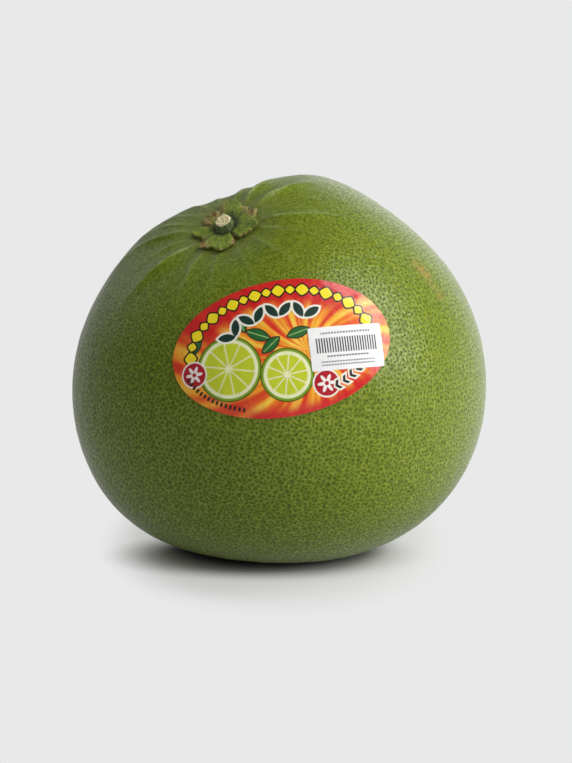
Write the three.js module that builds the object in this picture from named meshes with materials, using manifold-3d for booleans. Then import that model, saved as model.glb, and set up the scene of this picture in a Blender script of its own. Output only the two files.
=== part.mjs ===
// A whole green pomelo standing on its flat spot, with its calyx, the cut end of its stem and two
// paper stickers. Millimetres, +Z up, the front faces -Y, and the origin is on the surface that
// the fruit stands on. Headings turn from +X towards +Y. Azimuths turn the same way about the
// stem axis, from 0 on the right.
import * as THREE from 'three';
import { mergeVertices } from 'three/addons/utils/BufferGeometryUtils.js';
import Module from 'manifold-3d';

// Body of the fruit, measured from its centre
const BODY_CENTRE = new THREE.Vector3(0.75, 0.2, 61.4);
const EQUATOR_RADIUS = 70.25;
const STEM_END_RADIUS = 65.7;
const BLOSSOM_END_RADIUS = 65.2;
const SQUARENESS = 2.13; // 2 is an ellipsoid, more is squarer
const STEM_LEAN_LEFT = 18.4; // degrees from upright, as the fruit lies
const STEM_LEAN_FRONT = 21.1;

// Shallow hollow at the stem, and the slope it lies on, which rises towards one azimuth
const HOLLOW_DEPTH = 3;
const HOLLOW_REACH = 17.9; // degrees from the stem axis
const SLOPE = 0.21; // millimetres for each degree
const SLOPE_REACH = 20;
const SLOPE_AZIMUTH = 80;

// Bulges and flats: heading, elevation and spread in degrees, height in millimetres
const SWELLS = [
  { name: 'high shoulder', heading: 72, elevation: 70, spread: 11.3, height: 2.3 },
  { name: 'saddle behind the stem', heading: 138, elevation: 68, spread: 13.2, height: -5.2 },
  { name: 'flat cheek', heading: 16, elevation: 46, spread: 17, height: -3 },
  { name: 'left flank', heading: 171, elevation: 31, spread: 15, height: -1.1 },
  { name: 'left haunch', heading: -171, elevation: -31, spread: 26, height: 4.7 },
  { name: 'right haunch', heading: -10, elevation: -34, spread: 22.7, height: 3 },
  { name: 'seat', heading: -136.3, elevation: -80.7, spread: 19, height: -6.6 },
];

// Folds that run out from the stem: azimuth at the stem, how far it drifts round by the end,
// height in millimetres, and the polar angle where the fold ends
const FOLDS = [
  { azimuth: 30, drift: 12, height: 1.7, reach: 42 },
  { azimuth: 54, drift: 15, height: 1.8, reach: 44 },
  { azimuth: 75, drift: 7, height: 1.6, reach: 44 },
  { azimuth: 96, drift: 8, height: 1.3, reach: 42 },
  { azimuth: 111, drift: 16, height: 1.5, reach: 46 },
  { azimuth: 128, drift: 18, height: 1.2, reach: 42 },
  { azimuth: 155, drift: -7, height: 1.3, reach: 46 },
  { azimuth: 168, drift: -3, height: 1.3, reach: 50 },
  { azimuth: 184, drift: 2, height: 0.6, reach: 36 },
  { azimuth: 204, drift: 0, height: 1.4, reach: 44 },
  { azimuth: 226, drift: 14, height: 0.8, reach: 32 },
  { azimuth: 258, drift: 0, height: 0.5, reach: 28 },
  { azimuth: 287, drift: 0, height: 0.5, reach: 28 },
  { azimuth: 317, drift: -5, height: 0.7, reach: 31 },
  { azimuth: 335, drift: 2, height: 0.6, reach: 31 },
  { azimuth: 350, drift: 9, height: 1.1, reach: 38 },
];
const FOLD_SPREAD = 6; // degrees of azimuth
const FOLD_START = 8; // polar angles over which the folds rise
const FOLD_FULL = 17;
const FOLD_FADE = 26;

// Scar where the flower's style fell off, opposite the stem
const SCAR_DEPTH = 0.9;
const SCAR_REACH = 4;

// Calyx: corners of its broken edge as azimuth and distance from the stem axis
const CALYX_EDGE = [
  [14, 11.3], [26, 8.6], [38, 10.2], [50, 9.6], [64, 11.6], [78, 13.1], [94, 12.2], [104, 8.4],
  [114, 9.2], [137, 10.1], [154, 8.2], [168, 9.8], [180, 11.5], [198, 8.8], [211, 8.8], [224, 12.2],
  [244, 10.5], [261, 13.1], [276, 11.6], [287, 10.7], [294, 6.9], [300, 9.6], [318, 10.8],
  [338, 12.8], [352, 10.4],
];
const SEPAL_CREASES = [26, 104, 156, 211, 294]; // azimuths of the creases between its five sepals
const CREASE_SPREAD = 6;
const CREASE_SHARE = 0.5;
const CALYX_HOLE = 4.2;
// Thickness of the calyx from its hole (0) to its edge (1)
const CALYX_THICKNESS = [
  [0, 0.9], [0.12, 1.9], [0.3, 2.5], [0.55, 2.4], [0.78, 2.0], [0.93, 1.4], [1, 0.6],
];

// Cut end of the stem: radius at each height over the peel
const STEM_SIDE = [[0, 3.5], [0.4, 3.8], [1.4, 3.3], [2.4, 2.95], [3.7, 2.9]];
const STEM_HEIGHT = 4.1;
const STEM_CUT_RADIUS = 2.6;

// Stickers: centre as heading and elevation, half sizes, turn anticlockwise, corner power
const LABEL = {
  heading: -90.2, elevation: 22.2, halfWidth: 36.4, halfHeight: 22.7, turn: 9.8, cornerPower: 2,
};
const LABEL_GAP = 0.15;
const LABEL_THICK = 0.25;
const PRICE_STICKER = {
  heading: -71.4, elevation: 21, halfWidth: 12.2, halfHeight: 7, turn: -0.3, cornerPower: 14,
};
const STICKER_GAP = 0.15;
const STICKER_THICK = 0.2;

// Gap that separate pieces keep where they touch
const TOUCH_GAP = 0.3;

const DEGREE = Math.PI / 180;

// Unit vector from a heading and an elevation in degrees
function towards(heading, elevation) {
  const level = Math.cos(elevation * DEGREE);
  return new THREE.Vector3(
    level * Math.cos(heading * DEGREE),
    level * Math.sin(heading * DEGREE),
    Math.sin(elevation * DEGREE),
  );
}

// The stem axis, and the directions of azimuth 0 and azimuth 90, square to it
const stemAxis = new THREE.Vector3(
  -Math.tan(STEM_LEAN_LEFT * DEGREE),
  -Math.tan(STEM_LEAN_FRONT * DEGREE),
  1,
).normalize();
const stemRight = new THREE.Vector3(1, 0, 0).addScaledVector(stemAxis, -stemAxis.x).normalize();
const stemBack = new THREE.Vector3().crossVectors(stemAxis, stemRight);

function smoothStep(from, to, value) {
  return THREE.MathUtils.smoothstep(value, from, to);
}

// Smallest angle between two azimuths, in degrees
function azimuthGap(a, b) {
  return Math.abs(((((a - b) % 360) + 540) % 360) - 180);
}

// Direction at a polar angle from the stem axis and an azimuth about it, both in degrees
function aboutStem(polar, azimuth) {
  const out = Math.sin(polar * DEGREE);
  return stemAxis.clone().multiplyScalar(Math.cos(polar * DEGREE))
    .addScaledVector(stemRight, out * Math.cos(azimuth * DEGREE))
    .addScaledVector(stemBack, out * Math.sin(azimuth * DEGREE));
}

// Radius of the fruit without its folds: a superellipse turned about the stem axis, plus the
// swells and the slope at the stem, less the hollow there and the scar opposite
function bodyRadius(direction) {
  const along = THREE.MathUtils.clamp(direction.dot(stemAxis), -1, 1);
  const across = Math.sqrt(1 - along * along);
  const polar = Math.acos(along) / DEGREE;
  const azimuth = Math.atan2(direction.dot(stemBack), direction.dot(stemRight)) / DEGREE;
  const endRadius = along > 0 ? STEM_END_RADIUS : BLOSSOM_END_RADIUS;
  let radius = (
    (across / EQUATOR_RADIUS) ** SQUARENESS + (Math.abs(along) / endRadius) ** SQUARENESS
  ) ** (-1 / SQUARENESS);
  for (const swell of SWELLS) {
    const away = direction.angleTo(towards(swell.heading, swell.elevation)) / DEGREE;
    radius += swell.height * Math.exp(-0.5 * (away / swell.spread) ** 2);
  }
  radius += SLOPE * polar * Math.cos((azimuth - SLOPE_AZIMUTH) * DEGREE)
    * Math.exp(-((polar / SLOPE_REACH) ** 2));
  radius -= HOLLOW_DEPTH * Math.exp(-((polar / HOLLOW_REACH) ** 2));
  radius -= SCAR_DEPTH * Math.exp(-(((180 - polar) / SCAR_REACH) ** 2));
  return radius;
}

// Share of their full height to which the folds have risen at a polar angle
function foldRise(polar) {
  return smoothStep(FOLD_START, FOLD_FULL, polar);
}

// Height of the folds at a place
function foldHeight(polar, azimuth) {
  let height = 0;
  for (const fold of FOLDS) {
    const crest = fold.azimuth + fold.drift * Math.min(1, polar / fold.reach);
    const away = azimuthGap(azimuth, crest) / FOLD_SPREAD;
    const fade = 1 - smoothStep(fold.reach - FOLD_FADE, fold.reach, polar);
    height += fold.height * fade * Math.exp(-0.5 * away * away);
  }
  return height * foldRise(polar);
}

// Point of the peel at a polar angle and azimuth about the stem
function peelPoint(polar, azimuth) {
  const direction = aboutStem(polar, azimuth);
  const radius = bodyRadius(direction) + foldHeight(polar, azimuth);
  return direction.multiplyScalar(radius).add(BODY_CENTRE);
}

// Skins a stack of closed rings; a ring of one point is a pole, and a looped stack joins its ends
function skin(rings, looped = false) {
  const points = rings.flat();
  const starts = [];
  let count = 0;
  for (const ring of rings) {
    starts.push(count);
    count += ring.length;
  }
  const index = [];
  for (let k = 0; k < rings.length - (looped ? 0 : 1); k += 1) {
    const next = (k + 1) % rings.length;
    const [here, there] = [rings[k].length, rings[next].length];
    for (let j = 0; j < Math.max(here, there); j += 1) {
      const a = starts[k] + (j % here);
      const b = starts[k] + ((j + 1) % here);
      const c = starts[next] + ((j + 1) % there);
      const d = starts[next] + (j % there);
      if (here > 1) index.push(a, c, b);
      if (there > 1) index.push(a, d, c);
    }
  }
  const geometry = new THREE.BufferGeometry().setFromPoints(points);
  geometry.setIndex(index);
  return geometry;
}

// Azimuths in degrees, evenly spaced
function azimuths(sectors) {
  return Array.from({ length: sectors }, (_, j) => (360 * j) / sectors);
}

// Polar angles of the fruit's rings: close together over the folds and at the scar
function fruitRingAngles() {
  const angles = [];
  for (let polar = 3; polar < 50; polar += 2.6) angles.push(polar);
  for (let polar = 54; polar < 166; polar += 4.8) angles.push(polar);
  for (let polar = 168.5; polar < 179; polar += 2.3) angles.push(polar);
  return angles;
}

const wasm = await Module();
wasm.setup();

// Closed geometry as a solid that can be cut
function toSolid(geometry) {
  const bare = mergeVertices(geometry.clone());
  return new wasm.Manifold(new wasm.Mesh({
    numProp: 3,
    vertProperties: bare.attributes.position.array,
    triVerts: new Uint32Array(bare.index.array),
  }));
}

function fromSolid(solid) {
  const { vertProperties, triVerts } = solid.getMesh();
  const geometry = new THREE.BufferGeometry();
  geometry.setAttribute('position', new THREE.BufferAttribute(vertProperties, 3));
  geometry.setIndex(new THREE.BufferAttribute(triVerts, 1));
  return geometry;
}

// The fruit: rings of peel from the stem to the scar, cut level where it stands
function fruitGeometry() {
  const sectors = 96;
  const rings = fruitRingAngles().map(
    (polar) => azimuths(sectors).map((azimuth) => peelPoint(polar, azimuth)),
  );
  const body = toSolid(skin([[peelPoint(0, 0)], ...rings, [peelPoint(180, 0)]]));
  const side = 4 * EQUATOR_RADIUS;
  const below = toSolid(new THREE.BoxGeometry(side, side, side)
    .translate(0, 0, -side / 2).deleteAttribute('normal').deleteAttribute('uv'));
  return fromSolid(body.subtract(below));
}

// Value at a place in a table of [place, value] pairs, straight between them
function fromTable(table, place) {
  const next = Math.max(1, table.findIndex(([at]) => at >= place));
  const [[fromAt, from], [toAt, to]] = [table[next - 1], table[next]];
  return from + ((to - from) * (place - fromAt)) / (toAt - fromAt);
}

// Distance from the stem axis to the calyx's edge
function calyxEdge(azimuth) {
  const last = CALYX_EDGE[CALYX_EDGE.length - 1];
  const first = CALYX_EDGE[0];
  const closed = [[last[0] - 360, last[1]], ...CALYX_EDGE, [first[0] + 360, first[1]]];
  return fromTable(closed, azimuth);
}

// Point at a distance from the stem axis, lifted clear of the peel without its folds
function overPeel(out, azimuth, lift) {
  const polar = Math.atan2(out, STEM_END_RADIUS - HOLLOW_DEPTH) / DEGREE;
  const direction = aboutStem(polar, azimuth);
  const radius = bodyRadius(direction) + TOUCH_GAP + lift;
  return direction.multiplyScalar(radius).add(BODY_CENTRE);
}

// Point of the calyx: share runs from its hole to its edge, and its underside clears the folds
function calyxPoint(azimuth, share, onTop) {
  const out = THREE.MathUtils.lerp(CALYX_HOLE, calyxEdge(azimuth), share);
  const polar = Math.atan2(out, STEM_END_RADIUS - HOLLOW_DEPTH) / DEGREE;
  const tallestFold = Math.max(...FOLDS.map((fold) => fold.height));
  let lift = tallestFold * foldRise(polar);
  if (onTop) {
    const nearest = Math.min(...SEPAL_CREASES.map((crease) => azimuthGap(azimuth, crease)));
    const crease = CREASE_SHARE * Math.exp(-((nearest / CREASE_SPREAD) ** 2));
    lift += fromTable(CALYX_THICKNESS, share) * (1 - crease);
  }
  return overPeel(out, azimuth, lift);
}

function calyxGeometry() {
  const spokes = azimuths(96);
  const shares = CALYX_THICKNESS.map(([share]) => share);
  const ring = (share, onTop) => spokes.map((azimuth) => calyxPoint(azimuth, share, onTop));
  const top = shares.map((share) => ring(share, true));
  const bottom = [1, 0.8, 0.6, 0.4, 0.2, 0].map((share) => ring(share, false));
  return skin([...top, ...bottom], true);
}

// The stem: a round stub that flares at its foot and is cut off in line with the peel
function stemGeometry() {
  const ring = (radius, height) => azimuths(32).map(
    (azimuth) => overPeel(radius, azimuth, height),
  );
  return skin([
    [overPeel(0, 0, STEM_HEIGHT)],
    ring(STEM_CUT_RADIUS / 2, STEM_HEIGHT),
    ring(STEM_CUT_RADIUS, STEM_HEIGHT),
    ...[...STEM_SIDE].reverse().map(([height, radius]) => ring(radius, height)),
    [overPeel(0, 0, 0)],
  ]);
}

// A sticker that follows the peel: its outline is a superellipse, laid out along the surface
// from its centre, and both faces share the rings
function stickerGeometry(sticker, gap, thick, ringCount, sectors) {
  const centre = towards(sticker.heading, sticker.elevation);
  const level = new THREE.Vector3(0, 0, 1).cross(centre).normalize();
  const upward = new THREE.Vector3().crossVectors(centre, level);
  const turn = sticker.turn * DEGREE;
  const right = level.clone().multiplyScalar(Math.cos(turn)).addScaledVector(upward, Math.sin(turn));
  const up = upward.clone().multiplyScalar(Math.cos(turn)).addScaledVector(level, -Math.sin(turn));
  const bend = bodyRadius(centre);
  const point = (share, azimuth, lift) => {
    const [c, s] = [Math.cos(azimuth * DEGREE), Math.sin(azimuth * DEGREE)];
    const outline = (
      Math.abs(c / sticker.halfWidth) ** sticker.cornerPower
      + Math.abs(s / sticker.halfHeight) ** sticker.cornerPower
    ) ** (-1 / sticker.cornerPower);
    const [x, y] = [share * outline * c, share * outline * s];
    const away = Math.hypot(x, y);
    const direction = centre.clone();
    if (away > 0) {
      direction.multiplyScalar(Math.cos(away / bend))
        .addScaledVector(right, (Math.sin(away / bend) * x) / away)
        .addScaledVector(up, (Math.sin(away / bend) * y) / away);
    }
    return direction.multiplyScalar(bodyRadius(direction) + lift).add(BODY_CENTRE);
  };
  const shares = Array.from({ length: ringCount }, (_, k) => (k + 1) / ringCount);
  const ring = (share, lift) => azimuths(sectors).map((azimuth) => point(share, azimuth, lift));
  return skin([
    [point(0, 0, gap + thick)],
    ...shares.map((share) => ring(share, gap + thick)),
    ...[...shares].reverse().map((share) => ring(share, gap)),
    [point(0, 0, gap)],
  ]);
}

function piece(name, geometry, color, roughness) {
  geometry.computeVertexNormals();
  const mesh = new THREE.Mesh(
    geometry,
    new THREE.MeshStandardMaterial({ color, roughness, metalness: 0 }),
  );
  mesh.name = name;
  return mesh;
}

const pomelo = new THREE.Group();
pomelo.name = 'pomelo';
pomelo.add(
  piece('fruit', fruitGeometry(), 0x5d7328, 0.42),
  piece('calyx', calyxGeometry(), 0x74883a, 0.6),
  piece('stem', stemGeometry(), 0xb9b184, 0.8),
  piece('label', stickerGeometry(LABEL, LABEL_GAP, LABEL_THICK, 8, 64), 0xe2731d, 0.3),
  piece(
    'price_sticker',
    stickerGeometry(PRICE_STICKER, LABEL_GAP + LABEL_THICK + STICKER_GAP, STICKER_THICK, 4, 48),
    0xf2f0ee,
    0.4,
  ),
);

export default pomelo;
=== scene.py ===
"""A whole green pomelo with its calyx, the cut end of its stem, an oval sticker and a white one.

Lengths in the constants are millimetres and angles are degrees, unless a comment says otherwise.
Points go into Blender in metres, and the scale of a noise counts its waves to a metre. A name that
ends in RISE, REACH or ANGLES holds, where it has two values, the places between which a thing sets in.
Headings turn from +X towards +Y. Azimuths turn the same way about the stem axis, from 0 on the right.
"""

import bpy
import numpy as np
from mathutils.geometry import delaunay_2d_cdt
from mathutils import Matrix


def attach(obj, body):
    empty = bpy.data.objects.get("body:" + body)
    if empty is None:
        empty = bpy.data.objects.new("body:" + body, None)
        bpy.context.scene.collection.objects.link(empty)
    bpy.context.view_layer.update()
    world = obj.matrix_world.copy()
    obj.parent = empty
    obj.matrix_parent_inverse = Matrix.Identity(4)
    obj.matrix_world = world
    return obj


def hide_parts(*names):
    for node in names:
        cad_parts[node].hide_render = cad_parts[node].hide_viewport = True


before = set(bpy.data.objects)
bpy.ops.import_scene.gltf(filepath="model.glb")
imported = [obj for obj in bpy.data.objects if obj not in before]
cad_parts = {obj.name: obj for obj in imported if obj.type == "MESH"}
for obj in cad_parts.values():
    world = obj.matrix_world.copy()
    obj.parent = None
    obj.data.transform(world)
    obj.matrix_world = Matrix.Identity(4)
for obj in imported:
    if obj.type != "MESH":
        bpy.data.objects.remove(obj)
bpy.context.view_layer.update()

MM = 0.001
TINY = 1e-9
RANDOM = np.random.default_rng(11)

# Body of the fruit, measured from its centre
BODY_CENTRE = np.array([0.75, 0.2, 61.4])
EQUATOR_RADIUS = 70.25
STEM_END_RADIUS = 65.7
BLOSSOM_END_RADIUS = 65.2
SQUARENESS = 2.13
STEM_LEAN_LEFT = 18.4
STEM_LEAN_FRONT = 21.1
HOLLOW_DEPTH = 3
HOLLOW_REACH = 17.9
SLOPE = 0.21
SLOPE_REACH = 20
SLOPE_AZIMUTH = 80
SCAR_DEPTH = 0.9
SCAR_REACH = 4

# Bulges and flats: heading, elevation, spread, height
SWELLS = {
    "high shoulder": (72, 70, 11.3, 2.3),
    "saddle behind the stem": (138, 68, 13.2, -5.2),
    "flat cheek": (16, 46, 17, -3),
    "left flank": (171, 31, 15, -1.1),
    "left haunch": (-171, -31, 26, 4.7),
    "right haunch": (-10, -34, 22.7, 3),
    "seat": (-136.3, -80.7, 19, -6.6),
}

# Folds that run out from the stem: azimuth, drift, height, polar angle where each ends
FOLDS = [
    (30, 12, 1.7, 42), (54, 15, 1.8, 44), (75, 7, 1.0, 44), (96, 8, 0.6, 42),
    (111, 16, 0.7, 46), (128, 18, 0.7, 42), (155, -7, 1.0, 46), (168, -3, 1.3, 50),
    (184, 2, 0.6, 36), (204, 0, 1.4, 44), (226, 14, 0.8, 32), (258, 0, 0.5, 28),
    (287, 0, 0.5, 28), (317, -5, 0.7, 31), (335, 2, 0.6, 31), (350, 9, 1.1, 38),
]
FOLD_SPREAD = 6
FOLD_START = 8
FOLD_FULL = 17
FOLD_FADE = 26
# Across each fold lie a narrow bell and a wide one: share of its height, share of its spread
FOLD_BELLS = [(0.5, 0.34), (0.7, 1)]
# The pale line of a fold, part bloom and part painted highlight, runs this much further than its ridge
FOLD_LINE_TAIL = 6

# Peel: oil pits, closer together round the stem, and soft unevenness
PIT_SPACING = 1.6
PIT_SPACING_AT_STEM = 0.65
PIT_CLOSER_REACH = 34
PIT_TABLE_SIZE = 2001
PIT_JITTER = 0.25
PIT_DEPTH = 0.03
LUMP_STEEPNESS = 0.007
LUMP_LENGTHS = (4, 9)
LUMP_COUNT = 40

# Edge of the calyx: azimuth, distance from the stem axis
CALYX_EDGE = [
    (14, 11.3), (26, 8.6), (38, 10.2), (50, 9.6), (64, 11.6), (78, 13.1), (94, 12.2), (104, 8.4),
    (114, 9.2), (137, 10.1), (154, 8.2), (168, 9.8), (180, 11.5), (198, 8.8), (211, 8.8),
    (224, 12.2), (244, 10.5), (261, 13.1), (276, 11.6), (287, 10.7), (294, 6.9), (300, 9.6),
    (318, 10.8), (338, 12.8), (352, 10.4),
]
# Its ragged rim: height, waves round the stem, start in radians
CALYX_SCALLOPS = [(0.22, 11, 0)]
CALYX_RAGS = [(0.12, 37, 1)]
CALYX_FINE_RAGS = [(0.09, 67, 2)]
CALYX_HOLE = 3.4
CALYX_GAP = 0.2
CALYX_STEP = 1.0
CALYX_TOP_ROWS = 44
CALYX_UNDER_ROWS = 16
# Thickness of the calyx from its hole (0) to its edge (1)
CALYX_THICKNESS = [(0, 0.3), (0.16, 0.8), (0.36, 1.4), (0.6, 1.5), (0.86, 1.35), (0.97, 1.0), (1, 0.5)]
# Share of that thickness along the middle of each sepal, by azimuth
SEPAL_FLESH = [(-22, 1.15), (60, 1.0), (130, 0.5), (183, 0.7), (250, 1.0), (338, 1.15), (420, 1.0)]
SEPAL_CREASES = [26, 104, 156, 211, 294]
CREASE_SPREAD = 5
CREASE_SHARE = 0.75
CREASE_RISE = (0.05, 0.4)
# Wrinkles of the calyx: height, waves round the stem, turn in radians from hole to edge
WRINKLES = [(0.07, 19, 4)]
FINE_WRINKLES = [(0.05, 43, -6)]
WRINKLE_RISE = (0.1, 0.5)
# Dry patches of the calyx: azimuth, spread, where they begin between hole (0) and edge (1)
DRY_PATCHES = [(14, 10, 0.45), (40, 8, 0.6), (112, 17, 0.2), (139, 13, 0.25), (224, 9, 0.5), (288, 4, 0.6)]
DRY_RISE = 0.25
DRY_THINNING = 0.3
# Tips that have curled up: azimuth, spread, height
CURLS = [(14, 9, 0.9), (338, 10, 0.5), (112, 12, 0.7), (224, 8, 0.7), (300, 7, 0.5), (180, 8, 0.4)]
CURL_RISE = (0.45, 1)

# Side of the stem: height over the peel, radius
STEM_SIDE = [(0, 3.3), (0.5, 3.4), (1.2, 2.9), (1.9, 2.7), (2.6, 2.6)]
STEM_HEIGHT = 3.1
STEM_CUT_RADIUS = 2.45
STEM_GAP = 0.15
STEM_STEP = 5.0
STEM_CUT_RINGS = 9
STEM_FIRST_RING = 0.25
STEM_SIDE_RINGS = 12
# Waves of the cut and of the side: height, waves round the stem, turn in radians for each
# millimetre outwards or up; those of the rim have a start in radians
CUT_WAVES = [(0.16, 3, 4), (0.12, 7, -6)]
FLUTES = [(0.1, 9, 0), (0.06, 17, 2)]
RIM_WAVES = [(0.12, 5, 1)]
RIM_START = 1.5
FLUTE_RISE = (1, 2.5)

# Stickers: heading, elevation, half width, half height, turn, corner power
OVAL = (-90.2, 22.2, 36.4, 22.7, 9.8, 2)
WHITE = (-71.4, 21, 12.2, 7, -0.3, 40)
OVAL_LIFT = 0.3
OVAL_THICK = 0.18
WHITE_LIFT = 0.47
WHITE_THICK = 0.14
OVAL_GRID = (241, 161)
WHITE_GRID = (61, 37)

# Picture frame and camera
PICTURE_SIZE = (572, 763)
BODY_CENTRE_IN_PICTURE = (281.3, 372.7)
CAMERA_HEIGHT_ANGLE = 15
CAMERA_DISTANCE = 735
CAMERA_LENS = 99.1
CAMERA_SENSOR = 36


def srgb(red, green, blue):
    """Scene-linear colour of an 8-bit screen colour."""
    share = np.array([red, green, blue]) / 255
    light = np.where(share <= 0.04045, share / 12.92, ((share + 0.055) / 1.055) ** 2.4)
    return (*light.tolist(), 1.0)


def smooth(low, high, value):
    """0 below low, 1 above high, and 3t^2 - 2t^3 between them."""
    t = np.clip((value - low) / (high - low), 0, 1)
    return t * t * (3 - 2 * t)


def bell(value):
    """1 at 0, e^-0.5 at 1, and next to nothing from 3."""
    return np.exp(-0.5 * value**2)


def waves(angle, table, run=1):
    """Sum of sine waves of an angle: height times the sine of (count times angle, plus turn times run)."""
    return sum(height * np.sin(count * angle + turn * run) for height, count, turn in table)


def towards(heading, elevation):
    """Unit vector with that heading and elevation."""
    heading, elevation = np.radians(heading), np.radians(elevation)
    level = np.cos(elevation)
    return np.array([level * np.cos(heading), level * np.sin(heading), np.sin(elevation)])


def unit(vectors):
    return vectors / np.linalg.norm(vectors, axis=-1, keepdims=True)


STEM_AXIS = unit(np.array([
    -np.tan(np.radians(STEM_LEAN_LEFT)), -np.tan(np.radians(STEM_LEAN_FRONT)), 1.0,
]))
STEM_RIGHT = unit(np.array([1.0, 0, 0]) - STEM_AXIS[0] * STEM_AXIS)
STEM_BACK = np.cross(STEM_AXIS, STEM_RIGHT)


def about_stem(polar, azimuth):
    """Direction: cos(polar) along the stem axis and sin(polar) out from it at the azimuth."""
    polar, azimuth = np.radians(polar)[..., None], np.radians(azimuth)[..., None]
    outward = np.cos(azimuth) * STEM_RIGHT + np.sin(azimuth) * STEM_BACK
    return np.cos(polar) * STEM_AXIS + np.sin(polar) * outward


def polar_of(directions):
    return np.degrees(np.arccos(np.clip(directions @ STEM_AXIS, -1, 1)))


def azimuth_of(directions):
    return np.degrees(np.arctan2(directions @ STEM_BACK, directions @ STEM_RIGHT)) % 360


def azimuth_gap(a, b):
    """Smallest angle between two azimuths."""
    return np.abs((a - b + 180) % 360 - 180)


LUMP_WAYS = unit(RANDOM.normal(size=(LUMP_COUNT, 3)))
LUMP_SIZES = np.exp(RANDOM.uniform(*np.log(LUMP_LENGTHS), LUMP_COUNT))
LUMP_WAVES = EQUATOR_RADIUS * 2 * np.pi / LUMP_SIZES
LUMP_STARTS = RANDOM.uniform(0, 2 * np.pi, LUMP_COUNT)


def body_radius(directions):
    """A superellipse turned about the stem axis, plus bell-shaped swells and the slope at the
    stem, less the hollow there and the scar opposite, plus small plane waves as high as they are long."""
    along = np.clip(directions @ STEM_AXIS, -1, 1)
    across = np.sqrt(1 - along**2)
    polar, azimuth = polar_of(directions), azimuth_of(directions)
    end = np.where(along > 0, STEM_END_RADIUS, BLOSSOM_END_RADIUS)
    powers = (across / EQUATOR_RADIUS) ** SQUARENESS + (np.abs(along) / end) ** SQUARENESS
    radius = powers ** (-1 / SQUARENESS)
    for heading, elevation, spread, height in SWELLS.values():
        cosine = np.clip(directions @ towards(heading, elevation), -1, 1)
        radius = radius + height * bell(np.degrees(np.arccos(cosine)) / spread)
    uphill = polar * np.cos(np.radians(azimuth - SLOPE_AZIMUTH))
    radius = radius + SLOPE * uphill * np.exp(-((polar / SLOPE_REACH) ** 2))
    radius = radius - HOLLOW_DEPTH * np.exp(-((polar / HOLLOW_REACH) ** 2))
    radius = radius - SCAR_DEPTH * np.exp(-(((180 - polar) / SCAR_REACH) ** 2))
    lumps = np.sin(directions @ (LUMP_WAYS * LUMP_WAVES[:, None]).T + LUMP_STARTS)
    return radius + LUMP_STEEPNESS * (lumps @ LUMP_SIZES) / np.sqrt(LUMP_COUNT)


def fold_height(polar, azimuth):
    """Sum of ridges with a rounded crest and a wide foot, which rise out of the hollow, drift
    round the stem and fade out; each is a narrow bell plus a wider, lower one."""
    height = np.zeros_like(polar)
    for crest, drift, tall, reach in FOLDS:
        away = azimuth_gap(azimuth, crest + drift * np.minimum(1, polar / reach)) / FOLD_SPREAD
        ridge = sum(share * bell(away / width) for share, width in FOLD_BELLS)
        height = height + tall * ridge * (1 - smooth(reach - FOLD_FADE, reach, polar))
    return height * smooth(FOLD_START, FOLD_FULL, polar)


def nearest_fold(polar, azimuth):
    """Signed distance in millimetres across to the crest of the nearest fold, and how strong that
    fold still is there, from 0 to 1."""
    gaps, strengths = [], []
    for crest, drift, tall, reach in FOLDS:
        turn = (azimuth - crest - drift * np.minimum(1, polar / reach) + 180) % 360 - 180
        gaps.append(np.radians(turn) * np.sin(np.radians(polar)) * EQUATOR_RADIUS)
        strengths.append(min(1, tall) * (1 - smooth(reach - FOLD_FADE, reach + FOLD_LINE_TAIL, polar)))
    nearest = np.argmin(np.abs(gaps), axis=0)
    pick = (nearest, np.arange(len(polar)))
    return np.array(gaps)[pick], np.array(strengths)[pick] * smooth(FOLD_START, FOLD_FULL, polar)


# Meshes

def new_piece(name, points, faces, material, node):
    """Makes a smooth mesh object of millimetre points and a list of faces, which stands for a CAD node."""
    mesh = bpy.data.meshes.new(name)
    mesh.from_pydata((points * MM).tolist(), [], faces)
    mesh.polygons.foreach_set("use_smooth", np.ones(len(faces), dtype=bool))
    mesh.materials.append(material)
    piece = bpy.data.objects.new(name, mesh)
    bpy.context.scene.collection.objects.link(piece)
    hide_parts(node)
    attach(piece, "root")
    return piece


def give(piece, name, values):
    """Stores one value for each vertex under a name that the piece's material reads."""
    layer = piece.data.attributes.new(name, "FLOAT", "POINT")
    layer.data.foreach_set("value", np.asarray(values, dtype=np.float32).ravel())


def grid_faces(rows, columns, close_rows=False, close_columns=False):
    """Four-cornered faces of a grid whose columns run anticlockwise seen from outside as the rows
    run outwards; a closed way joins its last line to its first."""
    row = np.arange(rows if close_rows else rows - 1)[:, None]
    column = np.arange(columns if close_columns else columns - 1)[None]
    next_row, next_column = (row + 1) % rows, (column + 1) % columns
    corners = np.broadcast_arrays(
        row * columns + column, next_row * columns + column,
        next_row * columns + next_column, row * columns + next_column)
    return np.stack(corners, axis=-1).reshape(-1, 4)


def pit_directions():
    """Unit vectors of the oil pits: a golden-angle spiral about the stem axis whose turns are
    spaced by the pit spacing at each polar angle, each point then moved at random."""
    table = np.linspace(0, 180, PIT_TABLE_SIZE)
    closer = (PIT_SPACING - PIT_SPACING_AT_STEM) * np.exp(-((table / PIT_CLOSER_REACH) ** 4))
    spacing = PIT_SPACING - closer
    cell = np.sqrt(0.75) * spacing**2
    density = 2 * np.pi * EQUATOR_RADIUS**2 * np.sin(np.radians(table)) / cell
    total = np.concatenate([[0], np.cumsum((density[1:] + density[:-1]) / 2 * np.radians(table[1]))])
    count = int(total[-1])
    polar = np.interp(np.arange(count) + 0.5, total, table)
    golden_angle = 180 * (3 - np.sqrt(5))
    spread = PIT_JITTER * np.interp(polar, table, spacing) / EQUATOR_RADIUS
    directions = about_stem(polar, golden_angle * np.arange(count))
    return unit(directions + RANDOM.normal(size=(count, 3)) * spread[:, None])


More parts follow.
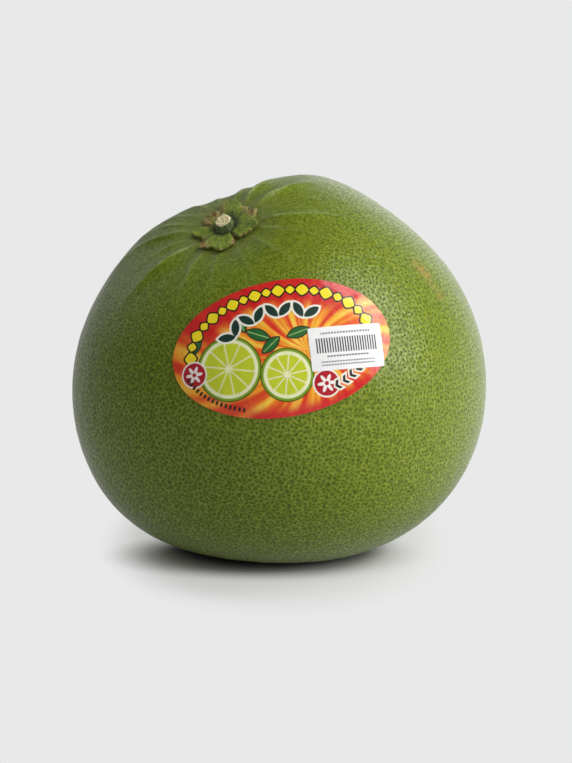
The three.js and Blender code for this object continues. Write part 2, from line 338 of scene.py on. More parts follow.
def pit_triangles(directions):
    """Delaunay triangles on the sphere: the points are laid on a plane by stereographic projection
    from the scar, triangulated there, and the outer edge is joined to one more pit at the scar.
    Returns the directions with that pit added, and the triangles."""
    along = directions @ STEM_AXIS
    plane = np.stack([directions @ STEM_RIGHT, directions @ STEM_BACK], -1) / (1 + along)[:, None]
    found = delaunay_2d_cdt(plane.tolist(), [], [], 0, TINY)
    kept = np.array([source[0] for source in found[3]])
    triangles = kept[np.array(found[2])]
    a, b, c = (plane[triangles[:, k]] for k in range(3))
    turn = (b[:, 0] - a[:, 0]) * (c[:, 1] - a[:, 1]) - (b[:, 1] - a[:, 1]) * (c[:, 0] - a[:, 0])
    triangles[turn < 0] = triangles[turn < 0][:, ::-1]
    scar = len(directions)
    start, end = triangles.ravel(), np.roll(triangles, -1, axis=1).ravel()
    open_edge = ~np.isin(start * (scar + 1) + end, end * (scar + 1) + start)
    cap = np.stack([end[open_edge], start[open_edge], np.full(open_edge.sum(), scar)], -1)
    return np.vstack([directions, -STEM_AXIS]), np.vstack([triangles, cap])


def peel_mesh():
    """The pits are the vertices, each sunk by a random small depth. Below the floor's level the
    peel is pressed flat."""
    directions, faces = pit_triangles(pit_directions())
    polar, azimuth = polar_of(directions), azimuth_of(directions)
    radius = body_radius(directions) + fold_height(polar, azimuth)
    radius = radius - RANDOM.uniform(0, PIT_DEPTH, len(directions))
    points = directions * radius[:, None] + BODY_CENTRE
    points[:, 2] = np.maximum(points[:, 2], 0)
    return points, faces, polar, nearest_fold(polar, azimuth)


def ring_table(table, places):
    """Value at each place in a table of pairs, straight between them."""
    return np.interp(places, [pair[0] for pair in table], [pair[1] for pair in table])


def polar_at(out):
    """Polar angle of a place near the stem at that distance from the stem axis."""
    return np.degrees(np.arctan2(out, STEM_END_RADIUS - HOLLOW_DEPTH))


def over_peel(out, azimuth, lift):
    """Points at a distance from the stem axis, lifted over the peel without its folds."""
    directions = about_stem(polar_at(out), azimuth)
    return directions * (body_radius(directions) + lift)[..., None] + BODY_CENTRE


def calyx_edge(azimuth):
    """Distance of the edge from the stem axis: straight between its corners, plus scallops, which
    are a sine wave folded outwards, and two finer sine waves."""
    (first, start), (last, end) = CALYX_EDGE[0], CALYX_EDGE[-1]
    table = [(last - 360, end), *CALYX_EDGE, (first + 360, start)]
    angle = np.radians(azimuth)
    ragged = np.abs(waves(angle, CALYX_SCALLOPS)) + waves(angle, CALYX_RAGS)
    return ring_table(table, azimuth) + ragged + waves(angle, CALYX_FINE_RAGS)


def calyx_mesh():
    """A ring-shaped skin. Its top follows the thickness table from the hole to the edge, dips at
    the creases, swells along the middle of each sepal and is finely wrinkled; tips curl up. Its
    underside lies just over the peel's folds. Returns the points and faces, and for each point
    where it lies between hole and edge, how dry it is and how deep in a crease."""
    azimuth = np.arange(0, 360, CALYX_STEP)
    rows = np.concatenate([np.linspace(0, 1, CALYX_TOP_ROWS), np.linspace(1, 0, CALYX_UNDER_ROWS)])
    share = rows[:, None] * np.ones(len(azimuth))
    turned = azimuth * np.ones_like(share)
    on_top = (np.arange(len(share)) < CALYX_TOP_ROWS)[:, None] * np.ones_like(share)
    out = CALYX_HOLE + (calyx_edge(turned) - CALYX_HOLE) * share
    tallest_fold = max(fold[2] for fold in FOLDS)
    lift = CALYX_GAP + tallest_fold * smooth(FOLD_START, FOLD_FULL, polar_at(out))
    for middle, spread, height in CURLS:
        near = bell(azimuth_gap(turned, middle) / spread)
        lift = lift + height * near * smooth(*CURL_RISE, share)
    to_crease = np.min([azimuth_gap(turned, crease) for crease in SEPAL_CREASES], axis=0)
    dip = CREASE_SHARE * np.exp(-((to_crease / CREASE_SPREAD) ** 2)) * smooth(*CREASE_RISE, share)
    wrinkle = waves(np.radians(turned), WRINKLES, share) * smooth(*WRINKLE_RISE, share)
    wrinkle = wrinkle + waves(np.radians(turned), FINE_WRINKLES, share)
    dry = np.zeros_like(share)
    for middle, spread, begin in DRY_PATCHES:
        near = bell(azimuth_gap(turned, middle) / spread)
        dry = np.maximum(dry, near * smooth(begin, begin + DRY_RISE, share))
    thick = ring_table(CALYX_THICKNESS, share) * (1 - dip) * (1 - DRY_THINNING * dry)
    thick = thick * ring_table(SEPAL_FLESH, turned)
    points = over_peel(out, turned, lift + on_top * (thick + wrinkle))
    faces = grid_faces(len(share), len(azimuth), close_rows=True, close_columns=True)
    return points.reshape(-1, 3), faces.tolist(), share, dry, dip * on_top


def fan(centre, ring, outward):
    """Triangles from a point to a closed ring of points."""
    after = np.roll(ring, -1)
    middle = np.full(len(ring), centre)
    return np.stack([middle, ring, after] if outward else [middle, after, ring], -1)


def stem_mesh():
    """Rings from the middle of the cut, over its rough rim and down the side to the foot, with a
    point at both ends. The cut is finely uneven and the side is fluted. Returns the points and
    faces, and for each point 1 on the cut and 0 elsewhere."""
    azimuth = np.arange(0, 360, STEM_STEP)
    cut_rings = np.linspace(STEM_FIRST_RING, STEM_CUT_RADIUS, STEM_CUT_RINGS)
    heights = np.linspace(STEM_SIDE[-1][0], 0, STEM_SIDE_RINGS)
    radius = np.append(cut_rings, ring_table(STEM_SIDE, heights))[:, None] * np.ones(len(azimuth))
    height = np.append(np.full(STEM_CUT_RINGS, STEM_HEIGHT), heights)[:, None] * np.ones(len(azimuth))
    turned = azimuth * np.ones_like(radius)
    spoke = np.radians(turned)
    on_cut = (np.arange(len(radius)) < STEM_CUT_RINGS)[:, None] * np.ones_like(radius)
    uneven = waves(spoke, CUT_WAVES, radius) * smooth(0, 1, radius)
    rim = waves(spoke, RIM_WAVES) * smooth(RIM_START, STEM_CUT_RADIUS, radius)
    out = radius + waves(spoke, FLUTES, height) * smooth(*FLUTE_RISE, radius)
    rings = over_peel(out, turned, STEM_GAP + height + on_cut * (uneven + rim))
    ends = over_peel(np.zeros(2), np.zeros(2), np.array([STEM_GAP + STEM_HEIGHT, STEM_GAP]))
    points = np.vstack([rings.reshape(-1, 3), ends])
    top, foot = len(points) - 2, len(points) - 1
    first = np.arange(len(azimuth))
    caps = np.vstack([fan(top, first, True), fan(foot, first + top - len(azimuth), False)])
    sides = grid_faces(len(radius), len(azimuth), close_columns=True)
    return points, sides.tolist() + caps.tolist(), np.append(on_cut, [1, 0])


def sticker_plane(half_width, half_height, corner_power, columns, rows):
    """A square grid drawn in to a superellipse: each point keeps its way out from the middle and
    moves so that the square's edge falls on the outline. Returns the two plane coordinates."""
    u, v = np.meshgrid(np.linspace(-1, 1, columns), np.linspace(-1, 1, rows))
    square = np.maximum(np.abs(u), np.abs(v))
    rounded = (np.abs(u) ** corner_power + np.abs(v) ** corner_power) ** (1 / corner_power)
    share = square / np.maximum(rounded, TINY)
    return u * share * half_width, v * share * half_height


def sticker_points(x, y, sticker, lift):
    """Plane points laid along the peel: as far from the centre over the sphere as on the plane."""
    heading, elevation, _, _, turn, _ = sticker
    centre = towards(heading, elevation)
    level = unit(np.cross([0.0, 0.0, 1.0], centre))
    upward = np.cross(centre, level)
    turn = np.radians(turn)
    right = level * np.cos(turn) + upward * np.sin(turn)
    up = upward * np.cos(turn) - level * np.sin(turn)
    away = np.hypot(x, y)
    bend = away / body_radius(centre[None])[0]
    outward = (x[..., None] * right + y[..., None] * up) / np.maximum(away, TINY)[..., None]
    directions = np.cos(bend)[..., None] * centre + np.sin(bend)[..., None] * outward
    return directions * (body_radius(directions) + lift)[..., None] + BODY_CENTRE


def sticker_piece(name, sticker, grid, lift, thick, material, node):
    """A sheet of paper on the peel, thickened inwards. Returns the piece and its plane grid."""
    columns, rows = grid
    _, _, half_width, half_height, _, corner_power = sticker
    x, y = sticker_plane(half_width, half_height, corner_power, columns, rows)
    points = sticker_points(x, y, sticker, lift)
    faces = grid_faces(rows, columns)[:, ::-1]
    piece = new_piece(name, points.reshape(-1, 3), faces.tolist(), material, node)
    ends = np.zeros(2 * len(piece.data.edges), dtype=int)
    piece.data.edges.foreach_get("vertices", ends)
    row, column = np.divmod(ends.reshape(-1, 2), columns)
    rims = [(row, 0), (row, rows - 1), (column, 0), (column, columns - 1)]
    on_rim = [(line == rim).all(axis=1) for line, rim in rims]
    piece.data.edges.foreach_set("use_edge_sharp", np.any(on_rim, axis=0))
    thickness = piece.modifiers.new("Paper thickness", "SOLIDIFY")
    thickness.thickness = thick * MM
    thickness.offset = -1
    return piece, x.ravel(), y.ravel()


# Print of the oval sticker. Each shape is a distance in millimetres: positive inside its outline

# Rows of shapes: share of the sticker's outline they lie on, first and last angle, count
BEAD_ARC = (0.82, 176, 14, 19)
LEAF_ARC = (0.52, 152, 52, 8)
CHEVRON_ARC = (0.8, -58, -14, 7)
TICK_ARC = (0.9, 196, 243, 15)
ARC_STEPS = 400

BEAD_SIZES = (2.15, 1.55)
BEAD_ROUNDING = 1.35  # 2 is a circle and 1 a diamond
LEAF_TILTS = (125, 50)
LEAF_SIZE = (6.2, 2.9)
SPOKE_HALF_WIDTH = 0.22
RIND = 1.9
CORE = 0.9
VEIN_HALF_WIDTH = 0.17
VEIN_SHORTFALL = 0.5
PETALS = 6
PETAL_MIDDLE = 0.5  # shares of the seal's radius
PETAL_SWING = 0.24
ROSETTE_HOLE = 0.7
CHEVRON_HALF_STROKE = 0.62
CHEVRON_SLOPE = 0.7
CHEVRON_HALF_WIDTH = 1.55
TICK_HALF_SIZES = (0.42, 0.75)
WHEELS = [((-17.5, -4.5), 10.2, 20), ((0.5, -9.6), 8.2, 4)]  # centre, radius, turn
WHEEL_SEGMENTS = 10
SEALS = [((-29.3, -4.2), 4.0), ((12.4, -14.2), 4.1)]  # centre, radius
# Loose leaves: centre, angle, length, width
SPRIG = [((-6.5, 4.6), 152, 8.2, 3.6), ((-3.0, 0.6), 35, 7.4, 3.3), ((-11.2, 9.0), 100, 5.6, 2.7),
         ((6.2, 3.2), 12, 7.6, 3.4), ((-27.5, 5.4), 60, 7.4, 3.6)]

# Rays: where they meet, height, count and start in radians of each wave, bend in radians for each
# millimetre, and how far the bright middle reaches
BURST_CENTRE = (8, -3)
BURST_WAVES = [(0.34, 17, 0), (0.22, 29, 1), (0.12, 53, 2)]
BURST_BEND = 0.012
BURST_GLOW = 0.25
BURST_GLOW_REACH = (16, 2)
# Red band: shares of the outline where it starts and is full, angles round its middle where it
# ends and is full, and that middle
RED_BAND = [((0.5, 0.72), (72, 50), 97), ((0.8, 0.97), (60, 30), 285)]


def turned_plane(x, y, centre, angle):
    """Coordinates about a centre, along and across a direction."""
    c, s = np.cos(np.radians(angle)), np.sin(np.radians(angle))
    dx, dy = x - centre[0], y - centre[1]
    return dx * c + dy * s, dy * c - dx * s


def leaf_shape(x, y, centre, angle, length, width):
    """Lens where two equal circles overlap, pointed at both ends along the angle."""
    along, across = turned_plane(x, y, centre, angle)
    radius = (length**2 + width**2) / (4 * width)
    return radius - np.hypot(along, np.abs(across) + radius - width / 2)


def on_arc(share, begin, end, count):
    """Places spaced evenly along part of an ellipse that is a share of the sticker's outline, as
    pairs of a centre and the angle along the arc."""
    angle = np.radians(np.linspace(begin, end, ARC_STEPS))
    x, y = share * OVAL[2] * np.cos(angle), share * OVAL[3] * np.sin(angle)
    run = np.concatenate([[0], np.cumsum(np.hypot(np.diff(x), np.diff(y)))])
    at = np.linspace(0, run[-1], count)
    px, py = np.interp(at, run, x), np.interp(at, run, y)
    way = np.degrees(np.arctan2(np.interp(at, run, np.gradient(y)), np.interp(at, run, np.gradient(x))))
    return [((px[k], py[k]), way[k]) for k in range(count)]


def union(shapes):
    """The shape that covers all of these."""
    return np.max(list(shapes), axis=0)


def about_arc(x, y, arc):
    """Coordinates about each place of a row: along the arc and across it."""
    return [turned_plane(x, y, *spot) for spot in on_arc(*arc)]


def bead_row(x, y):
    """Rounded diamonds, large and small in turn, along the upper arc."""
    beads = []
    for k, (along, across) in enumerate(about_arc(x, y, BEAD_ARC)):
        out = (np.abs(along) ** BEAD_ROUNDING + np.abs(across) ** BEAD_ROUNDING) ** (1 / BEAD_ROUNDING)
        beads.append(BEAD_SIZES[k % 2] - out)
    return union(beads)


def leaf_row(x, y):
    """Leaves along a short inner arc, tilted to alternate sides."""
    return union(leaf_shape(x, y, centre, way + LEAF_TILTS[k % 2], *LEAF_SIZE)
                 for k, (centre, way) in enumerate(on_arc(*LEAF_ARC)))


def discs(x, y, circles):
    """Filled circles, each given by its centre and radius first."""
    return union(radius - np.hypot(x - middle[0], y - middle[1]) for middle, radius, *_ in circles)


def wheel_rim(x, y):
    """Discs of the two halved fruits."""
    return discs(x, y, WHEELS)


def wheel_segments(x, y):
    """Wedges between the spokes of each halved fruit, inside its pale rind."""
    wedges = []
    for centre, radius, turn in WHEELS:
        out = np.hypot(x - centre[0], y - centre[1])
        angle = np.degrees(np.arctan2(y - centre[1], x - centre[0])) - turn
        step = 360 / WHEEL_SEGMENTS
        from_spoke = np.radians(step / 2 - np.abs((angle % step) - step / 2))
        flesh = np.minimum(radius - RIND - out, out - CORE)
        wedges.append(np.minimum(out * np.sin(from_spoke) - SPOKE_HALF_WIDTH, flesh))
    return union(wedges)


def sprig(x, y):
    """Loose leaves round the halved fruits."""
    return union(leaf_shape(x, y, *leaf) for leaf in SPRIG)


def sprig_veins(x, y):
    """Middle veins of those leaves."""
    veins = []
    for centre, angle, length, _ in SPRIG:
        along, across = turned_plane(x, y, centre, angle)
        reach = length / 2 - VEIN_SHORTFALL - np.abs(along)
        veins.append(np.minimum(VEIN_HALF_WIDTH - np.abs(across), reach))
    return union(veins)


def seals(x, y):
    """Round seals."""
    return discs(x, y, SEALS)


def rosettes(x, y):
    """A flower with a hole inside each seal: its outline swings in and out once for each petal."""
    flowers = []
    for centre, radius in SEALS:
        out = np.hypot(x - centre[0], y - centre[1])
        angle = np.arctan2(y - centre[1], x - centre[0])
        flower = radius * (PETAL_MIDDLE + PETAL_SWING * np.cos(PETALS * angle)) - out
        flowers.append(np.minimum(flower, out - ROSETTE_HOLE))
    return union(flowers)


def chevrons(x, y):
    """Small bent strokes along the lower right arc."""
    return union(np.minimum(CHEVRON_HALF_STROKE - np.abs(along - CHEVRON_SLOPE * np.abs(across)),
                            CHEVRON_HALF_WIDTH - np.abs(across))
                 for along, across in about_arc(x, y, CHEVRON_ARC))


def ticks(x, y):
    """Short dashes along the lower left arc."""
    half_length, half_height = TICK_HALF_SIZES
    return union(np.minimum(half_length - np.abs(along), half_height - np.abs(across))
                 for along, across in about_arc(x, y, TICK_ARC))


def burst(x, y):
    """Rays from one point: sine waves of the angle, bent a little with distance and brighter in
    the middle, as 0 to 1."""
    out = np.hypot(x - BURST_CENTRE[0], y - BURST_CENTRE[1])
    angle = np.arctan2(y - BURST_CENTRE[1], x - BURST_CENTRE[0]) + BURST_BEND * out
    rays = waves(angle, BURST_WAVES)
    return np.clip(0.5 + rays + BURST_GLOW * smooth(*BURST_GLOW_REACH, out), 0, 1)


def red_share(x, y):
    """1 in the red band, which is broad along the top and thin along the bottom right."""
    share = np.hypot(x / OVAL[2], y / OVAL[3])
    angle = np.degrees(np.arctan2(y / OVAL[3], x / OVAL[2])) % 360
    return union(smooth(*shares, share) * smooth(*angles, azimuth_gap(angle, middle))
                 for shares, angles, middle in RED_BAND)


# Materials

def add(tree, kind, inputs=None, **settings):
    """Adds a node; an input is a constant or the socket that feeds it."""
    node = tree.nodes.new(kind)
    for name, value in settings.items():
        setattr(node, name, value)
    for key, value in (inputs or {}).items():
        if isinstance(value, bpy.types.NodeSocket):
            tree.links.new(value, node.inputs[key])
        else:
            node.inputs[key].default_value = value
    return node


def maths(tree, operation, *values, clamp=False):
    inputs = dict(enumerate(values))
    return add(tree, "ShaderNodeMath", inputs, operation=operation, use_clamp=clamp).outputs[0]


def times(tree, a, b, clamp=False):
    return maths(tree, "MULTIPLY", a, b, clamp=clamp)


def linear(tree, value, slope, start, clamp=False):
    """The value times the slope, plus the start."""
    return maths(tree, "MULTIPLY_ADD", value, slope, start, clamp=clamp)


def vector_maths(tree, operation, *values):
    """A number from a dot product, a length or a distance, and a vector from the others."""
    node = add(tree, "ShaderNodeVectorMath", dict(enumerate(values)), operation=operation)
    return node.outputs["Value" if operation in ("DOT_PRODUCT", "LENGTH", "DISTANCE") else "Vector"]


def blend_colours(tree, share, under, over):
    return add(tree, "ShaderNodeMix", {0: share, 6: under, 7: over}, data_type="RGBA").outputs[2]


def step_up(tree, value, low, high):
    """0 where the value is below low and 1 above high, smooth between."""
    inputs = {"Value": value, "From Min": low, "From Max": high}
    return add(tree, "ShaderNodeMapRange", inputs, interpolation_type="SMOOTHSTEP").outputs[0]


def stored(tree, name):
    return add(tree, "ShaderNodeAttribute", attribute_name=name).outputs["Fac"]


def place(tree):
    """Where a point lies in its piece's own space, in metres."""
    return add(tree, "ShaderNodeTexCoord").outputs["Object"]


def noise(tree, where, scale, detail=3.0, roughness=0.5):
    inputs = {"Vector": where, "Scale": scale, "Detail": detail, "Roughness": roughness}
    return add(tree, "ShaderNodeTexNoise", inputs).outputs["Fac"]


def new_group(name, takes, gives):
    """A node group with float or vector inputs and their defaults, and float outputs."""
    tree = bpy.data.node_groups.new(name, "ShaderNodeTree")
    for socket, default in takes.items():
        kind = "NodeSocketVector" if default is None else "NodeSocketFloat"
        made = tree.interface.new_socket(name=socket, in_out="INPUT", socket_type=kind)
        if default is not None:
            made.default_value = default
    for socket in gives:
        tree.interface.new_socket(name=socket, in_out="OUTPUT", socket_type="NodeSocketFloat")
    return tree, tree.nodes.new("NodeGroupInput").outputs, tree.nodes.new("NodeGroupOutput").inputs


def make_mottle_group():
    """Soft patches: noise of one size plus noise three times as fine, spread round a half."""
    tree, takes, gives = new_group("Mottle", {"Where": None, "Scale": 60.0, "Contrast": 1.0}, ["Share"])
    coarse = noise(tree, takes["Where"], takes["Scale"], 2.0)
    fine = noise(tree, takes["Where"], times(tree, takes["Scale"], 3.1), 3.0, 0.6)
    both = maths(tree, "ADD", times(tree, coarse, 0.65), times(tree, fine, 0.35))
    spread = times(tree, maths(tree, "SUBTRACT", both, 0.5), takes["Contrast"])
    tree.links.new(maths(tree, "ADD", spread, 0.5, clamp=True), gives["Share"])
    return tree


def make_ink_group():
    """Printed shape: full where the distance is past the inset, with an edge as soft as stated."""
    tree, takes, gives = new_group("Ink", {"Distance": 0.0, "Inset": 0.0, "Softness": 0.12}, ["Mask"])
    past = maths(tree, "SUBTRACT", takes["Distance"], takes["Inset"])
    share = maths(tree, "DIVIDE", past, takes["Softness"])
    tree.links.new(maths(tree, "ADD", share, 0.5, clamp=True), gives["Mask"])
    return tree


def make_paper_group():
    """Paper stuck on a pitted peel: the pits show through as a soft relief, with faint creases."""
    tree, takes, gives = new_group("Stuck paper", {"Where": None, "Pits": 0.5}, ["Height", "Roughness"])
    cells = {"Vector": takes["Where"], "Scale": 520.0}
    pits = add(tree, "ShaderNodeTexVoronoi", cells).outputs["Distance"]
    creases = noise(tree, takes["Where"], 90.0, 2.0)
    tree.links.new(linear(tree, pits, takes["Pits"], creases), gives["Height"])
    dull = noise(tree, takes["Where"], 140.0)
    tree.links.new(linear(tree, dull, 0.16, 0.16), gives["Roughness"])
    return tree


MOTTLE = make_mottle_group()
INK = make_ink_group()
STUCK_PAPER = make_paper_group()


def grouped(tree, group, inputs):
    return add(tree, "ShaderNodeGroup", inputs, node_tree=group).outputs


def mottle(tree, where, scale, contrast):
    return grouped(tree, MOTTLE, {"Where": where, "Scale": scale, "Contrast": contrast})["Share"]


def printed(tree, under, shape, inset, softness, ink):
    """Colour with one ink printed over it."""
    mask = grouped(tree, INK, {"Distance": shape, "Inset": inset, "Softness": softness})["Mask"]
    return blend_colours(tree, mask, under, ink)


def new_material(name, **constants):
    """A material with one Principled shader; constants go on the shader's own sockets."""
    material = bpy.data.materials.new(name)
    material.use_nodes = True
    tree = material.node_tree
    shader = tree.nodes["Principled BSDF"]
    for socket, value in constants.items():
        shader.inputs[socket.replace("_", " ")].default_value = value
    return material, tree, shader


def feed(tree, shader, socket, value):
    tree.links.new(value, shader.inputs[socket])


def bump(tree, height, distance):
    return add(tree, "ShaderNodeBump", {"Height": height, "Distance": distance * MM}).outputs[0]


def near_line(tree, where, start, end, reach):
    """1 on the line between two points and 0 past its reach, in the piece's own space."""
    start, end = np.array(start), np.array(end)
    half = np.linalg.norm(end - start) / 2 * MM
    way = unit(end - start).tolist()
    shifted = vector_maths(tree, "SUBTRACT", where, ((start + end) / 2 * MM).tolist())
    along = vector_maths(tree, "DOT_PRODUCT", shifted, way)
    kept = maths(tree, "MINIMUM", maths(tree, "MAXIMUM", along, -half), half)
    foot = add(tree, "ShaderNodeVectorMath", {0: way, "Scale": kept}, operation="SCALE").outputs[0]
    return step_up(tree, vector_maths(tree, "DISTANCE", shifted, foot), reach * MM, 0.0)


def surface_point(heading, elevation):
    """Point of the smooth peel at a heading and elevation from the body's centre."""
    way = towards(heading, elevation)
    return (way * body_radius(way[None])[0] + BODY_CENTRE).tolist()


# Net and pit colours: darker green side, lighter yellow right side (partly own colour, partly painted light),
# in patches, in clumps
NET = [srgb(109, 126, 20), srgb(134, 149, 30), srgb(118, 134, 36), srgb(140, 156, 44)]
PITS = [srgb(85, 103, 5), srgb(102, 119, 14), srgb(78, 94, 8), srgb(62, 80, 2)]
# Pale line along the fold crests: partly paler bloom, partly painted highlight
FOLD_BLOOM_AND_HIGHLIGHT_COLOUR = srgb(160, 176, 118)
DUST_COLOUR = srgb(124, 132, 84)
GRAZE_COLOUR = srgb(178, 138, 66)
SCAR_COLOUR = srgb(96, 78, 46)
# Patches of the peel, large to small: scale, contrast
PEEL_PATCHES = {"broad": (26.0, 2.2), "patch": (130.0, 2.0), "clump": (760.0, 3.4)}
# The lighter, yellower right side, partly own colour and partly painted light: its direction, and where it
# starts and is full along that, in metres
YELLOW_LIT_SIDE_WAY = (0.9, -0.1, 0.34)
YELLOW_LIT_SIDE_REACH = (0.006, 0.078)
# Polar angles where each begins and is full
DUST_ANGLES = (22.0, 8.0)
DULL_ANGLES = (50.0, 16.0)
RELIEF_ANGLES = (14.0, 42.0)
SCAR_ANGLES = (176.0, 178.0)
# The pale line of a fold, partly paler bloom and partly painted highlight along the crest: where it begins
# and is full, across it, and how far it wanders
LINE_WIDTH = (1.0, 0.1)
LINE_LIMIT = (1.7, 1.0)
LINE_WANDER = 0.9
# Grazes of the peel: heading and elevation of both ends, reach, strength
GRAZES = [((-32.8, 40), (-31.3, 36.6), 3.8, 0.7), ((-31.8, 33.9), (-30.6, 29.5), 3.4, 0.35)]


def peel_material():
    """Green peel: dark pits in a lighter net; towards the right it turns yellower and lighter, partly its
    own colour and partly painted light from that side; greyer, duller and more even round the stem, with
    uneven pale lines along the folds that are partly bloom and partly painted highlight, two small russet
    grazes and a brown scar. A pit stands at each vertex: the squares of the three corner weights add up to 1
    there and to a third in the middle of a triangle."""
    material, tree, shader = new_material("Pomelo peel", IOR=1.4, Coat_Roughness=0.16,
                                          Sheen_Weight=0.03, Sheen_Roughness=0.4)
    where = place(tree)
    polar = stored(tree, "polar")
    broad, patch, clump = (mottle(tree, where, *size) for size in PEEL_PATCHES.values())
    # Towards the right the peel turns lighter and yellower: partly its own colour, partly painted light from
    # that side
    yellow_lit_side = step_up(tree, vector_maths(tree, "DOT_PRODUCT", where, YELLOW_LIT_SIDE_WAY), *YELLOW_LIT_SIDE_REACH)
    yellow = times(tree, yellow_lit_side, linear(tree, broad, 0.7, 0.6), clamp=True)
    net = blend_colours(tree, yellow, NET[0], NET[1])
    net = blend_colours(tree, times(tree, patch, 0.3), net, NET[2])
    net = blend_colours(tree, times(tree, clump, 0.6), net, NET[3])
    pits = blend_colours(tree, yellow, PITS[0], PITS[1])
    pits = blend_colours(tree, times(tree, broad, 0.35), pits, PITS[2])
    pits = blend_colours(tree, linear(tree, clump, -1.1, 0.8, clamp=True), pits, PITS[3])
    corner = add(tree, "ShaderNodeAttribute", attribute_name="corner").outputs["Vector"]
    pit = vector_maths(tree, "DOT_PRODUCT", corner, corner)
    uneven = linear(tree, noise(tree, where, 800.0, 2.0), 0.8, -0.4)
    dot = step_up(tree, maths(tree, "ADD", pit, uneven), 0.22, 0.7)
    colour = blend_colours(tree, dot, net, pits)
    wander = linear(tree, noise(tree, where, 150.0, 2.0), 2 * LINE_WANDER, -LINE_WANDER)
    gap = maths(tree, "ABSOLUTE", maths(tree, "ADD", stored(tree, "fold_gap"), wander))
    line = times(tree, step_up(tree, gap, *LINE_WIDTH), step_up(tree, stored(tree, "fold_away"), *LINE_LIMIT))
    line = times(tree, line, stored(tree, "fold_strength"))
    # Pale fold lines: partly bloom on the crests, partly painted highlight
    colour = blend_colours(tree, times(tree, line, linear(tree, patch, 0.8, 0.1)), colour, FOLD_BLOOM_AND_HIGHLIGHT_COLOUR)
    dusty = times(tree, step_up(tree, polar, *DUST_ANGLES), linear(tree, broad, 0.5, 0.1))
    colour = blend_colours(tree, dusty, colour, DUST_COLOUR)
    flecks = step_up(tree, noise(tree, where, 520.0, 2.0), 0.3, 0.66)
    for start, end, reach, strength in GRAZES:
        graze = near_line(tree, where, surface_point(*start), surface_point(*end), reach)
        graze = times(tree, graze, times(tree, flecks, strength))
        colour = blend_colours(tree, graze, colour, GRAZE_COLOUR)
    colour = blend_colours(tree, step_up(tree, polar, *SCAR_ANGLES), colour, SCAR_COLOUR)
    feed(tree, shader, "Base Color", colour)
    dull = step_up(tree, polar, *DULL_ANGLES)
    rough = linear(tree, dull, 0.13, linear(tree, patch, 0.07, 0.15))
    feed(tree, shader, "Roughness", linear(tree, dot, 0.1, rough))
    feed(tree, shader, "Specular IOR Level", linear(tree, dot, -0.3, linear(tree, dull, -0.06, 0.54)))
    feed(tree, shader, "Coat Weight", linear(tree, broad, 0.08, 0.02))
    relief = maths(tree, "SUBTRACT", times(tree, clump, 0.7), step_up(tree, pit, 0.36, 1.0))
    relief = linear(tree, noise(tree, where, 430.0, 1.0), 2.5, relief)
    strong = linear(tree, step_up(tree, polar, *RELIEF_ANGLES), 0.8, 0.2)
    feed(tree, shader, "Normal", bump(tree, linear(tree, relief, strong, times(tree, line, 1.5)), 0.1))
    return material


def calyx_material():
    """Fleshy green sepals with brown rims and dry, tan to rust patches; painted shade darkens them round the
    stem's hole and turns the creases a dull grey.
    """
    material, tree, shader = new_material("Calyx", IOR=1.42)
    where = place(tree)
    patch = mottle(tree, where, 420.0, 2.6)
    share = stored(tree, "share")
    green = blend_colours(tree, patch, srgb(84, 108, 18), srgb(142, 160, 52))
    # Painted shade: darker towards the hole, in the groove round the stem
    inner = step_up(tree, share, 0.4, 0.04)
    colour = blend_colours(tree, times(tree, inner, 0.85), green, srgb(62, 66, 44))
    # Painted shade: the creases between sepals turn a darker dull grey
    crease = times(tree, stored(tree, "crease"), 1.1, clamp=True)
    colour = blend_colours(tree, crease, colour, srgb(84, 82, 44))
    rim = times(tree, step_up(tree, share, 0.92, 0.99), linear(tree, patch, 0.7, 0.25))
    colour = blend_colours(tree, rim, colour, srgb(98, 76, 42))
    rust = step_up(tree, noise(tree, where, 700.0), 0.4, 0.62)
    tan = blend_colours(tree, rust, srgb(164, 148, 94), srgb(118, 78, 48))
    dry = times(tree, stored(tree, "dry"), linear(tree, patch, 0.5, 0.65), clamp=True)
    feed(tree, shader, "Base Color", blend_colours(tree, dry, colour, tan))
    feed(tree, shader, "Roughness", linear(tree, dry, 0.25, 0.5))
    grain = noise(tree, where, 1300.0)
    feed(tree, shader, "Normal", bump(tree, maths(tree, "ADD", grain, patch), 0.16))
    return material


def stem_material():
    """Cream, fibrous cut with brown flecks; green to grey bark on the side."""
    material, tree, shader = new_material("Stem", IOR=1.45)
    where = place(tree)
    patch = mottle(tree, where, 600.0, 2.4)
    fibres = add(tree, "ShaderNodeTexVoronoi", {"Vector": where, "Scale": 1500.0}).outputs["Distance"]
    cream = blend_colours(tree, fibres, srgb(244, 236, 194), srgb(206, 192, 134))
    cream = blend_colours(tree, step_up(tree, patch, 0.62, 0.85), cream, srgb(168, 140, 84))
    bark = blend_colours(tree, patch, srgb(60, 76, 34), srgb(116, 128, 78))
    cut = step_up(tree, stored(tree, "cut"), 0.15, 0.6)
    feed(tree, shader, "Base Color", blend_colours(tree, cut, bark, cream))
    feed(tree, shader, "Roughness", linear(tree, patch, 0.2, 0.65))
    feed(tree, shader, "Normal", bump(tree, maths(tree, "ADD", fibres, patch), 0.2))
    return material


# Colours of the rays, from the darkest: place from 0 to 1, colour
RAY_STOPS = [
    (0.0, srgb(214, 44, 22)), (0.3, srgb(232, 92, 30)),
    (0.62, srgb(244, 160, 36)), (1.0, srgb(252, 216, 84)),
]
INK_SOFTNESS = 0.22
